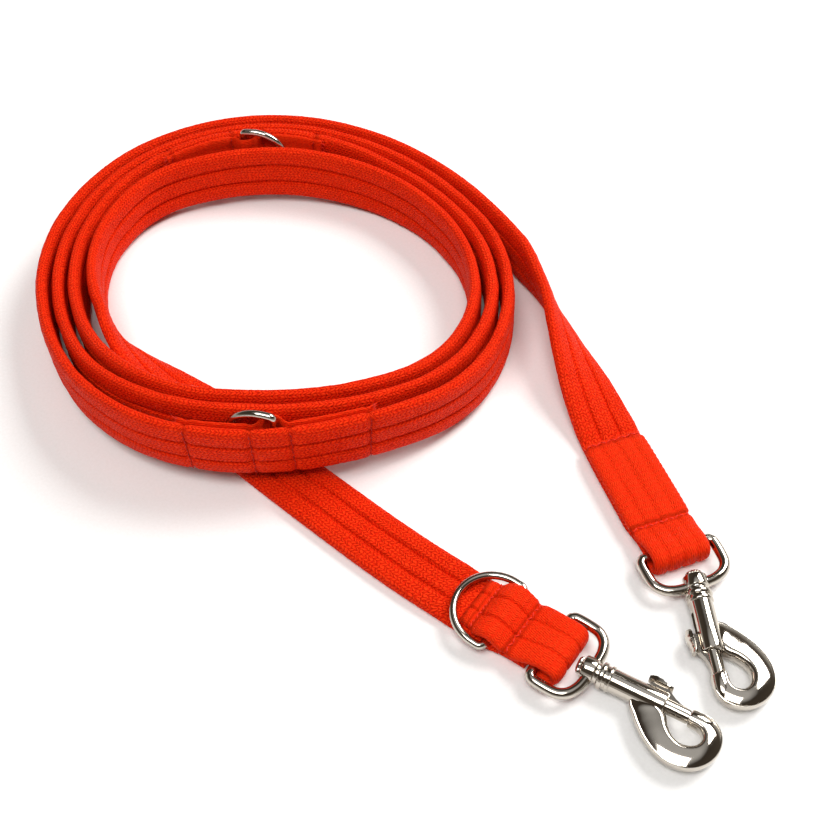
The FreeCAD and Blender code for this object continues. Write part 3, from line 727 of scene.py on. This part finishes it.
def join(*meshes):
    """Several meshes' vertices and faces as one."""
    vertices = []
    faces = []
    for more, shapes in meshes:
        base = len(vertices)
        vertices += more
        faces += [tuple(base + k for k in shape) for shape in shapes]
    return vertices, faces


RIVET_BORE = 2.04
SPRING_BORE = 2.75
# Barrel, from the collar to the bolt's end: x, outer radius, inner radius.
BARREL = (
    (0.0, 4.4, RIVET_BORE), (0.25, 4.8, RIVET_BORE), (0.6, 4.9, RIVET_BORE), (1.5, 4.9, RIVET_BORE),
    (1.8, 4.7, RIVET_BORE), (1.9, 4.25, RIVET_BORE), (2.6, 4.25, RIVET_BORE),
    (3.0, 4.3, SPRING_BORE), (3.2, 4.7, SPRING_BORE), (4.0, 4.75, SPRING_BORE),
    (4.3, 4.6, SPRING_BORE), (4.5, 4.3, SPRING_BORE), (8.4, 4.25, SPRING_BORE),
    (9.2, 4.25, SPRING_BORE), (16.0, 4.3, SPRING_BORE), (22.9, 4.35, SPRING_BORE),
    (23.5, 4.2, SPRING_BORE), (23.8, 3.8, SPRING_BORE),
)
SLOT_START = 12
SLOT_ANGLE = math.radians(22.0)


def barrel_mesh():
    """A tube with a slot for the thumb piece along its -Y side."""
    slot_steps = 6
    steps = 66
    angles = [-SLOT_ANGLE + 2.0 * SLOT_ANGLE * k / slot_steps for k in range(slot_steps)]
    angles += [SLOT_ANGLE + (2.0 * math.pi - 2.0 * SLOT_ANGLE) * k / steps for k in range(steps)]
    sides = len(angles)
    vertices = []
    faces = []
    for x, outer, inner in BARREL:
        for radius in (outer, inner):
            for angle in angles:
                vertices.append((x, -radius * math.cos(angle), radius * math.sin(angle)))
    for number in range(len(BARREL) - 1):
        out = number * 2 * sides
        into = out + sides
        step = 2 * sides
        for k in range(sides):
            if number >= SLOT_START and k < slot_steps:
                continue
            following = (k + 1) % sides
            faces.append((out + k, out + following, out + step + following, out + step + k))
            faces.append((into + k, into + step + k, into + step + following, into + following))
        if number >= SLOT_START:
            faces.append((out, into, into + step, out + step))
            faces.append((out + slot_steps, out + step + slot_steps, into + step + slot_steps,
                          into + slot_steps))
    last = (len(BARREL) - 1) * 2 * sides
    wall = SLOT_START * 2 * sides
    for k in range(sides):
        following = (k + 1) % sides
        faces.append((k, sides + k, sides + following, following))
        if k >= slot_steps:
            faces.append((last + k, last + following, last + sides + following, last + sides + k))
        else:
            faces.append((wall + k, wall + following, wall + sides + following, wall + sides + k))
    return vertices, faces


# The hook: points of its inner edge beside points of its outer edge, from the barrel to the nose.
HOOK = (((17.0, 1.5), (12.2, 3.2)), ((21.0, 2.0), (13.0, 5.8)), ((24.2, 2.8), (15.0, 8.2)),
        ((25.9, 4.2), (17.6, 11.1)), ((27.4, 6.8), (21.6, 14.6)), ((29.8, 9.2), (26.8, 17.6)),
        ((32.7, 10.5), (32.4, 18.9)), ((35.6, 10.1), (38.2, 17.9)), ((37.9, 8.6), (42.8, 14.3)),
        ((38.8, 6.5), (45.3, 9.1)), ((38.3, 4.6), (45.3, 3.8)), ((37.2, 3.4), (43.2, -0.3)),
        ((35.6, 2.9), (39.6, -2.6)), ((34.0, 2.8), (36.0, -3.0)), ((32.7, 2.7), (32.7, -3.0)))
# Height of the hook's upper face at shares of the way from its inner edge to its outer edge.
HOOK_SECTION = ((0.0, 0.9), (0.02, 1.7), (0.06, 2.3), (0.12, 2.75), (0.17, 3.0), (0.22, 3.02),
                (0.30, 2.98), (0.42, 2.84), (0.55, 2.6), (0.68, 2.26), (0.79, 1.88), (0.87, 1.55),
                (0.90, 1.42),
                (0.925, 1.52), (0.96, 1.5), (0.985, 1.2), (1.0, 0.6))


def catmull_point(a, b, c, d, t):
    """The point a share t of the way from b to c on a smooth line through all four."""
    return 0.5 * ((2 * b) + (c - a) * t + (2 * a - 5 * b + 4 * c - d) * t * t
                  + (3 * b - a - 3 * c + d) * t ** 3)


def catmull(points, steps):
    """A smooth line through points, as pairs of numbers."""
    out = []
    for number in range(len(points) - 1):
        a = Vector(points[max(number - 1, 0)])
        b = Vector(points[number])
        c = Vector(points[number + 1])
        d = Vector(points[min(number + 2, len(points) - 1)])
        for step in range(steps):
            out.append(catmull_point(a, b, c, d, step / steps))
    out.append(Vector(points[-1]))
    return out


def hook_mesh():
    """A cast hook, domed on both faces, with a bevel round its opening and a lip round its rim."""
    inner = catmull([pair[0] for pair in HOOK], 6)
    outer = catmull([pair[1] for pair in HOOK], 6)
    count = len(HOOK_SECTION)
    around = 2 * count
    vertices = []
    faces = []
    for number, (near, far) in enumerate(zip(inner, outer)):
        root = ease(number / 10.0)
        for share, high in HOOK_SECTION:
            spot = near.lerp(far, share)
            vertices.append((spot.x, spot.y, high * (0.8 + 0.2 * root)))
        for share, high in reversed(HOOK_SECTION):
            spot = near.lerp(far, share)
            vertices.append((spot.x, spot.y, -high * (0.8 + 0.2 * root)))
    for number in range(len(inner) - 1):
        base = number * around
        for k in range(around):
            following = (k + 1) % around
            faces.append((base + k, base + following, base + around + following, base + around + k))
    faces.append(tuple(reversed(range(around))))
    last = (len(inner) - 1) * around
    faces.append(tuple(last + k for k in range(around)))
    return vertices, faces


NOSE = ((36.5, 0.0), (34.0, 0.01), (34.0, 2.2), (32.5, 2.25), (32.5, 2.75), (32.8, 3.05),
        (33.3, 3.15), (36.5, 3.15), (38.5, 2.9), (40.0, 2.2), (40.6, 1.0), (40.7, 0.01))
BOLT_ROD = ((14.0, 0.01), (14.0, 2.3), (14.3, 2.6), (23.9, 2.6), (24.1, 2.52), (31.6, 2.52),
            (32.2, 2.4), (32.3, 1.9), (33.2, 1.85), (33.5, 1.5), (33.5, 0.01))
RIVET = ((3.0, 0.01), (3.0, 1.98), (-6.5, 1.98), (-6.6, 2.6), (-6.9, 3.0), (-7.4, 3.15), (-7.9, 3.05),
         (-8.3, 2.6), (-8.5, 1.7), (-8.55, 0.01))
RIVET_FLUTES = (4, 7, 16, 0.35)


STEM_HALF_WIDTH = 1.35
PAD_START = 15.2
PAD_LENGTH = 8.7
PAD_HALF_WIDTH = 2.85
PAD_RIBS = 4.0


def lever_mesh():
    """The bolt's thumb piece: a leaning stem under a small ribbed saddle."""
    vertices = []
    faces = []
    stem = [(17.2, -1.6), (17.0, -4.0), (16.7, -5.6), (22.6, -5.6), (24.0, -4.6), (26.0, -3.4),
            (28.6, -2.4), (30.6, -2.2), (30.6, -1.4)]
    for z in (-STEM_HALF_WIDTH, STEM_HALF_WIDTH):
        vertices += [(x, y, z) for x, y in stem]
    count = len(stem)
    for k in range(count):
        following = (k + 1) % count
        faces.append((k, following, count + following, count + k))
    faces.append(tuple(reversed(range(count))))
    faces.append(tuple(range(count, 2 * count)))
    rows = 26
    columns = 9
    pad = []
    for level in (0, 1):
        for row in range(rows + 1):
            t = row / rows
            x = PAD_START + PAD_LENGTH * t
            swell = math.sin(math.pi * min(max(t, 0.02), 0.98)) ** 0.4
            rib = 0.10 * math.cos(2.0 * math.pi * t * PAD_RIBS) if 0.12 < t < 0.88 else 0.0
            top = -7.7 - 0.8 * math.cos(math.pi * (t - 0.15)) * swell - rib
            under = -5.5 - 0.5 * (1.0 - swell)
            for column in range(columns + 1):
                s = -1.0 + 2.0 * column / columns
                half = PAD_HALF_WIDTH * (0.55 + 0.45 * swell)
                y = top + 0.9 * abs(s) ** 2.6 if level else under - 0.4 * abs(s) ** 3
                pad.append((x, y, s * half))
    wide = columns + 1
    level_size = (rows + 1) * wide
    base = len(vertices)
    vertices += pad
    for row in range(rows):
        for column in range(columns):
            a = base + row * wide + column
            faces.append((a, a + wide, a + wide + 1, a + 1))
            b = a + level_size
            faces.append((b, b + 1, b + wide + 1, b + wide))
        for edge, turn in ((0, 1), (columns, -1)):
            a = base + row * wide + edge
            quad = (a, a + level_size, a + level_size + wide, a + wide)
            faces.append(quad if turn > 0 else tuple(reversed(quad)))
    for row, turn in ((0, -1), (rows, 1)):
        for column in range(columns):
            a = base + row * wide + column
            quad = (a, a + level_size, a + level_size + 1, a + 1)
            faces.append(quad if turn > 0 else tuple(reversed(quad)))
    return vertices, faces


BOSS = ((-6.35, 2.1), (-6.4, 3.9), (-6.1, 4.4), (-5.8, 4.5), (-2.2, 4.5), (-1.9, 4.4), (-1.6, 3.9),
        (-1.2, 3.7), (-0.3, 3.7), (-0.3, 2.1))
EYE_WIRE = 2.0
EYE_PIN = -3.35
EYE_OUTLINE = ((-16.3, 0.0), (-16.3, 11.9), (-15.7, 13.7), (-14.0, 14.6), (-8.0, 14.6), (-4.7, 13.9),
               (-2.1, 11.9), (-0.7, 9.2), (0.0, 6.0), (0.2, 0.0), (0.0, -6.0), (-0.7, -9.2),
               (-2.1, -11.9), (-4.7, -13.9), (-8.0, -14.6), (-14.0, -14.6), (-15.7, -13.7),
               (-16.3, -11.9))


def ring_tube(outline, radius, sides=20, steps=6):
    """A round wire bent to a closed outline in the XY plane."""
    count = len(outline)
    line = []
    for number in range(count):
        a, b, c, d = (Vector(outline[(number + k) % count]) for k in (-1, 0, 1, 2))
        for step in range(steps):
            line.append(catmull_point(a, b, c, d, step / steps))
    vertices = []
    faces = []
    total = len(line)
    for number, point in enumerate(line):
        run = (line[(number + 1) % total] - line[number - 1]).normalized()
        for k in range(sides):
            angle = 2.0 * math.pi * k / sides
            out = radius * math.cos(angle)
            vertices.append((point.x + run.y * out, point.y - run.x * out, radius * math.sin(angle)))
    for number in range(total):
        ahead = (number + 1) % total
        for k in range(sides):
            following = (k + 1) % sides
            faces.append((number * sides + k, number * sides + following, ahead * sides + following,
                          ahead * sides + k))
    return vertices, faces


def hollow_boss(outline, sides=72):
    """A ring turned about X: the outline closes on itself along the bore."""
    vertices = []
    faces = []
    for x, radius in outline:
        for k in range(sides):
            angle = 2.0 * math.pi * k / sides
            vertices.append((x, radius * math.cos(angle), radius * math.sin(angle)))
    count = len(outline)
    for number in range(count):
        ahead = (number + 1) % count
        for k in range(sides):
            following = (k + 1) % sides
            faces.append((number * sides + k, ahead * sides + k, ahead * sides + following,
                          number * sides + following))
    return vertices, faces


def eye_mesh(end):
    """The eye's wire, turned as it lies, and the boss that the rivet passes through."""
    data = ENDS[end]
    yaw = data["eye_heading"] - data["heading"]
    if data["flip"]:
        yaw = -yaw
    turn = Matrix.Translation((EYE_PIN, 0.0, 0.0)) @ Matrix.Rotation(math.radians(yaw), 4, "Z")
    wire, wire_faces = ring_tube(EYE_OUTLINE, EYE_WIRE)
    wire = [tuple(turn @ Vector(v)) for v in wire]
    return join((wire, wire_faces), hollow_boss(BOSS))


hardware = []
for end in ENDS:
    eye = place_mesh(f"{end}_eye", end, f"{end}_eye", "nickel", *eye_mesh(end))
    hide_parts(f"{end}_snap_eye")
    hardware.append(eye)
    casting = place_mesh(f"{end}_casting", end, f"{end}_snap", "nickel",
                         *join(barrel_mesh(), hook_mesh(), revolve(NOSE)))
    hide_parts(f"{end}_snap_body")
    rivet = place_mesh(f"{end}_rivet", end, f"{end}_snap", "nickel",
                       *revolve(RIVET, 96, RIVET_FLUTES))
    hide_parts(f"{end}_swivel_rivet")
    bolt = place_mesh(f"{end}_bolt_and_thumb", end, f"{end}_bolt", "nickel",
                      *join(revolve(BOLT_ROD), lever_mesh()))
    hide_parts(f"{end}_snap_bolt")
    hardware += [casting, rivet, bolt]

# ---------------------------------------------------------------- materials


class Nodes:
    """A short way to wire up shader nodes."""

    def __init__(self, name):
        self.material = bpy.data.materials.new(name)
        self.material.use_nodes = True
        self.tree = self.material.node_tree
        self.shader = self.tree.nodes["Principled BSDF"]

    def add(self, kind, **settings):
        node = self.tree.nodes.new(kind)
        for key, value in settings.items():
            setattr(node, key, value)
        return node

    def feed(self, socket, value):
        if hasattr(value, "is_output"):
            self.tree.links.new(value, socket)
        else:
            socket.default_value = value

    def math(self, operation, *values):
        node = self.add("ShaderNodeMath", operation=operation)
        for socket, value in zip(node.inputs, values):
            self.feed(socket, value)
        return node.outputs[0]

    def noise(self, scale, detail, vector=None):
        node = self.add("ShaderNodeTexNoise")
        node.inputs["Scale"].default_value = scale
        node.inputs["Detail"].default_value = detail
        if vector is not None:
            self.feed(node.inputs["Vector"], vector)
        return node.outputs["Fac"]

    def ramp(self, factor, stops):
        node = self.add("ShaderNodeValToRGB")
        while len(node.color_ramp.elements) < len(stops):
            node.color_ramp.elements.new(0.5)
        for element, (place, colour) in zip(node.color_ramp.elements, stops):
            element.position = place
            element.color = (*colour, 1.0)
        self.feed(node.inputs[0], factor)
        return node.outputs[0]

    def mix(self, factor, a, b, blend="MIX"):
        node = self.add("ShaderNodeMix", data_type="RGBA", blend_type=blend)
        self.feed(node.inputs["Factor"], factor)
        self.feed(node.inputs[6], a)
        self.feed(node.inputs[7], b)
        return node.outputs[2]

    def bump(self, height, distance, strength=1.0):
        node = self.add("ShaderNodeBump")
        node.inputs["Strength"].default_value = strength
        node.inputs["Distance"].default_value = distance
        self.feed(node.inputs["Height"], height)
        self.feed(self.shader.inputs["Normal"], node.outputs[0])

    def object_place(self):
        return self.add("ShaderNodeTexCoord").outputs["Object"]


def web_material(name, stitch_long, row_wide, slant, cross, relief, base, light, dark):
    """Woven web in rows along the strap; cross is how strongly slanted stitches break up each row."""
    m = Nodes(name)
    uv = m.add("ShaderNodeUVMap", uv_map="web").outputs[0]
    split = m.add("ShaderNodeSeparateXYZ")
    m.feed(split.inputs[0], uv)
    place = m.object_place()
    sway = m.math("MULTIPLY", m.math("SUBTRACT", m.noise(480.0, 3.0, place), 0.5), 1.9)
    along = m.math("MULTIPLY", split.outputs[0], 1000.0 / stitch_long)
    row = m.math("ADD", m.math("MULTIPLY", split.outputs[1], 1000.0 / row_wide),
                 m.math("MULTIPLY", sway, 0.4))
    lean = m.math("MULTIPLY", m.math("PINGPONG", row, 1.0), slant)
    phase = m.math("ADD", m.math("ADD", along, lean), sway)
    wave = m.math("SINE", m.math("MULTIPLY", phase, 2.0 * math.pi))
    stitch = m.math("POWER", m.math("MULTIPLY_ADD", wave, 0.5, 0.5), 0.55)
    broken = m.math("MULTIPLY_ADD", stitch, cross, 1.0 - cross)
    fold = m.math("ABSOLUTE", m.math("SUBTRACT", m.math("FRACT", row), 0.5))
    ridge = m.math("SUBTRACT", 1.0, m.math("POWER", m.math("MULTIPLY", fold, 2.0), 2.5))
    weave = m.math("MULTIPLY", broken, m.math("MULTIPLY_ADD", ridge, 0.7, 0.3))
    fuzz = m.noise(3400.0, 3.0, place)
    m.bump(m.math("ADD", weave, m.math("MULTIPLY", fuzz, 0.5)), relief)
    patchy = m.noise(90.0, 3.0, place)
    tone = m.ramp(m.math("ADD", m.math("MULTIPLY", weave, 0.85), m.math("MULTIPLY", patchy, 0.2)),
                  [(0.06, dark), (0.40, base), (0.92, light)])
    m.feed(m.shader.inputs["Base Color"], tone)
    m.feed(m.shader.inputs["Roughness"], m.math("MULTIPLY_ADD", weave, -0.16, 0.74))
    m.shader.inputs["Specular IOR Level"].default_value = 0.14
    m.shader.inputs["Specular Tint"].default_value = (1.0, 0.35, 0.18, 1.0)
    return m.material


BASE = (0.80, 0.017, 0.002)
LIGHT = (0.90, 0.040, 0.005)
DARK = (0.34, 0.003, 0.001)
web = web_material("web_knit", 1.7, 1.3, 0.7, 0.85, 0.5 * MM, BASE, LIGHT, DARK)
satin = web_material("web_satin", 2.2, 0.8, 0.6, 0.5, 0.4 * MM, BASE, LIGHT, (0.42, 0.006, 0.002))


def thread_material(name, dark, light):
    """Twisted sewing thread."""
    m = Nodes(name)
    place = m.object_place()
    twist = m.noise(2600.0, 2.0, place)
    m.feed(m.shader.inputs["Base Color"], m.ramp(twist, [(0.3, dark), (0.7, light)]))
    m.bump(twist, 0.1 * MM)
    m.shader.inputs["Roughness"].default_value = 0.5
    m.shader.inputs["Specular IOR Level"].default_value = 0.2
    return m.material


def metal_material(name, colour, dull, roughness, scratch):
    """Nickel plate: a bright skin with faint waviness and fine wear."""
    m = Nodes(name)
    place = m.object_place()
    cloud = m.noise(130.0, 3.0, place)
    grain = m.noise(1500.0, 2.0, place)
    skin = m.mix(m.math("MULTIPLY", cloud, 0.5), (*colour, 1.0), (*dull, 1.0))
    m.feed(m.shader.inputs["Base Color"], skin)
    m.feed(m.shader.inputs["Roughness"], m.math("MULTIPLY_ADD", grain, scratch, roughness))
    m.shader.inputs["Metallic"].default_value = 1.0
    m.bump(m.noise(200.0, 2.0, place), 0.04 * MM, 0.4)
    return m.material


nickel = metal_material("nickel", (0.58, 0.535, 0.475), (0.46, 0.415, 0.355), 0.05, 0.07)
steel = metal_material("spring_steel", (0.55, 0.55, 0.56), (0.40, 0.40, 0.41), 0.25, 0.15)
thread = thread_material("thread", (0.60, 0.012, 0.004), (0.86, 0.045, 0.020))
# A darker copy of the same thread for the patch rows inside the coil: painted shade for rows that lie
# in the coil's shadow.
shaded_thread = thread_material("thread_painted_shade", (0.30, 0.004, 0.002), (0.62, 0.014, 0.005))


def face_outward(obj):
    """Turns every closed shell's faces to point out of the solid."""
    shell = bmesh.new()
    shell.from_mesh(obj.data)
    bmesh.ops.recalc_face_normals(shell, faces=shell.faces)
    shell.to_mesh(obj.data)
    shell.free()


def dress(obj, material):
    """Gives an object this material in every slot it has."""
    if not obj.material_slots:
        obj.data.materials.append(material)
    for slot in obj.material_slots:
        slot.material = material


for piece in (strap, plain_fold, ring_fold, middle_patch, far_patch, *hardware):
    face_outward(piece)
dress(strap, web)
for piece in (plain_fold, ring_fold, middle_patch, far_patch):
    dress(piece, satin)
for piece in (plain_thread, ring_thread, middle_fringe, far_fringe, plain_fringe, ring_fringe):
    dress(piece, thread)
# The patch rows get the darker copy of the thread: painted shade.
for piece in (middle_thread, far_thread):
    dress(piece, shaded_thread)
for piece in hardware:
    dress(piece, nickel)
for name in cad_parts:
    node = bpy.data.objects[name]
    if "spring" in name:
        dress(node, steel)
    elif "snap" in name or "ring" in name or "rivet" in name:
        dress(node, nickel)

# ---------------------------------------------------------------- floor and light


def floor_material():
    m = Nodes("floor")
    place = m.object_place()
    grain = m.noise(900.0, 3.0, place)
    shade = m.ramp(grain, [(0.3, (0.90, 0.90, 0.90)), (0.7, (0.94, 0.94, 0.945))])
    m.feed(m.shader.inputs["Base Color"], shade)
    m.bump(grain, 0.05 * MM, 0.3)
    m.shader.inputs["Roughness"].default_value = 0.8
    return m.material


FLOOR_SIZE = 6.0
floor_mesh = bpy.data.meshes.new("floor")
corners = [(x * FLOOR_SIZE, y * FLOOR_SIZE, 0.0) for x, y in ((-1, -1), (1, -1), (1, 1), (-1, 1))]
floor_mesh.from_pydata(corners, [], [(0, 1, 2, 3)])
floor = bpy.data.objects.new("floor", floor_mesh)
scene.collection.objects.link(floor)
dress(floor, floor_material())


def area_light(name, place, target, width, height, power, colour=(1.0, 1.0, 1.0)):
    data = bpy.data.lights.new(name, "AREA")
    data.shape = "RECTANGLE"
    data.size = width
    data.size_y = height
    data.energy = power
    data.color = colour
    light = bpy.data.objects.new(name, data)
    scene.collection.objects.link(light)
    light.location = place
    light.rotation_euler = (Vector(target) - Vector(place)).to_track_quat("-Z", "Y").to_euler()
    return light


area_light("window", (0.95, 0.60, 1.10), (0.0, 0.0, 0.0), 0.8, 0.8, 24.0, (1.0, 0.985, 0.96))
area_light("ceiling", (-0.25, -0.58, 1.60), (0.0, 0.0, 0.0), 1.2, 0.7, 19.5, (1.0, 0.99, 0.97))

# The studio: bright low walls under a dim ceiling.
world = bpy.data.worlds.new("studio")
world.use_nodes = True
nodes = world.node_tree.nodes
links = world.node_tree.links
split = nodes.new("ShaderNodeSeparateXYZ")
links.new(nodes.new("ShaderNodeTexCoord").outputs["Generated"], split.inputs[0])
ramp = nodes.new("ShaderNodeValToRGB")
WALLS = ((0.0, (0.42, 0.40, 0.38)), (0.20, (0.56, 0.54, 0.51)), (0.36, (0.09, 0.072, 0.055)),
         (0.84, (0.055, 0.044, 0.034)), (0.95, (0.6, 0.6, 0.6)))
while len(ramp.color_ramp.elements) < len(WALLS):
    ramp.color_ramp.elements.new(0.5)
for element, (place, colour) in zip(ramp.color_ramp.elements, WALLS):
    element.position = place
    element.color = (*colour, 1.0)
links.new(split.outputs[2], ramp.inputs[0])
links.new(ramp.outputs[0], nodes["Background"].inputs["Color"])
nodes["Background"].inputs["Strength"].default_value = 1.0
scene.world = world
scene.view_settings.view_transform = "Standard"
